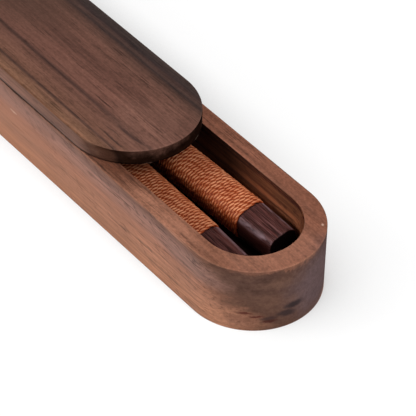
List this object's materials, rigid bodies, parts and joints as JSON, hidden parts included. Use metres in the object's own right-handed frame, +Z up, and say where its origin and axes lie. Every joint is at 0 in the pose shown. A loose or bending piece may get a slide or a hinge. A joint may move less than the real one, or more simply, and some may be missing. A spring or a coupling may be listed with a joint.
{
  "type": "chopstick case",
  "caption": "Slim round-ended wooden case whose flat lid slides back on a dovetail runner, holding thread-bound wooden chopsticks in a milled hollow.",
  "frame": {"origin": "centre of the case's flat underside", "axes": "+X along the case towards the end that the sliding lid uncovers, +Z up, +Y across the case"},
  "size_m": [0.296, 0.034, 0.0228],
  "materials": {
    "case_walnut": "oiled walnut, satin",
    "lid_walnut": "oiled walnut with dark streaks, satin",
    "runner_walnut": "bare planed walnut",
    "stick_rosewood": "dark rosewood, waxed",
    "copper_thread": "twisted silky thread"
  },
  "bodies": {
    "case": {"case_body": "case_walnut"},
    "lid": {"lid": "lid_walnut", "lid_runner": "runner_walnut"},
    "left_chopstick": {"chopstick_left": "stick_rosewood", "thread_left": "copper_thread"},
    "right_chopstick": {"chopstick_right": "stick_rosewood", "thread_right": "copper_thread"}
  },
  "joints": [
    {"name": "lid_slide", "type": "slide", "parent": "case", "child": "lid", "axis": [-1, 0, 0], "range_m": [-0.046, 0.049]},
    {"name": "left_chopstick_slide", "type": "slide", "parent": "case", "child": "left_chopstick", "axis": [1, 0, 0], "range_m": [-0.004, 0.0003]},
    {"name": "right_chopstick_slide", "type": "slide", "parent": "case", "child": "right_chopstick", "axis": [1, 0, 0], "range_m": [-0.0038, 0.0005]}
  ]
}
